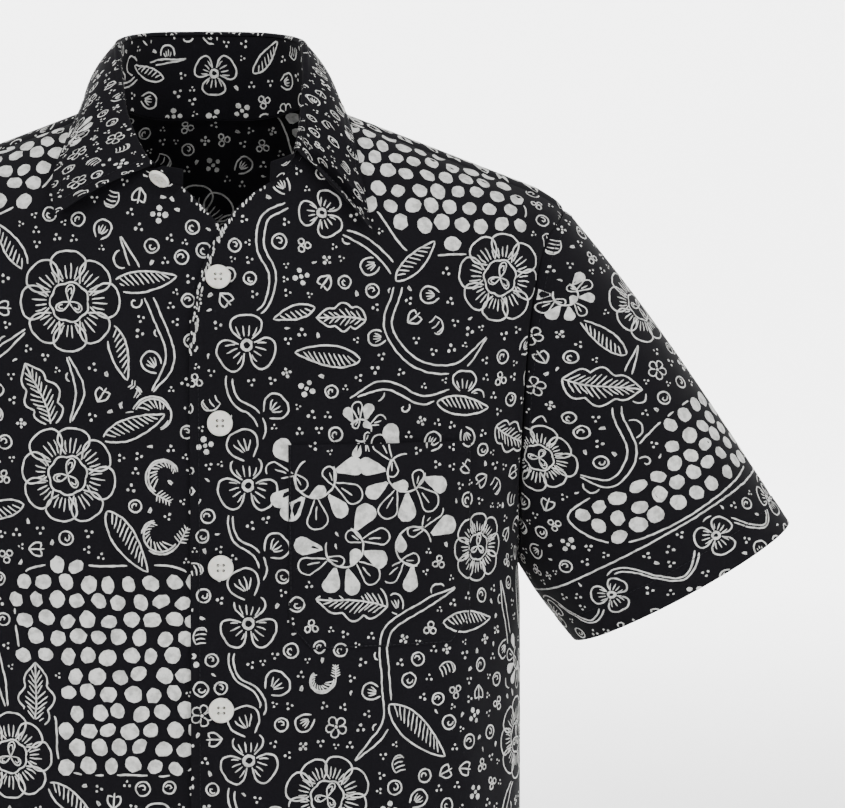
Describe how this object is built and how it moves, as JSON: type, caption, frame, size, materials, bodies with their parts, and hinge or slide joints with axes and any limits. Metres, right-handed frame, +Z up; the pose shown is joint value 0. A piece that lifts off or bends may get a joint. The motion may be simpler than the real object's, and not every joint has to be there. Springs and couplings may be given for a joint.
{
  "type": "short-sleeved batik shirt, filled out as worn",
  "caption": "Short-sleeved button-front shirt in dark resist-printed cotton, hollow and filled out as worn, with an open turned-down collar and a chest pocket.",
  "frame": {"origin": "middle of the neck hole, level with the inner ends of the shoulder seams, where the wearer's neck and shoulders hold the shirt", "axes": "+Z up, -Y the front with its buttons, +X towards the wearer's left sleeve and the pocket"},
  "size_m": [0.7568, 0.2424, 0.7538],
  "materials": {
    "cloth": "matt plain-weave cotton, near-black with an off-white hand-drawn floral",
    "buttons": "polished cream four-hole shirt buttons"
  },
  "bodies": {
    "root": {"front_left": "cloth", "front_right": "cloth", "back": "cloth", "sleeve_left": "cloth", "sleeve_right": "cloth", "collar_stand": "cloth", "collar_fall": "cloth", "pocket": "cloth", "collar_button": "buttons", "button_1": "buttons", "button_2": "buttons", "button_3": "buttons", "button_4": "buttons", "button_5": "buttons", "button_6": "buttons"}
  },
  "joints": []
}
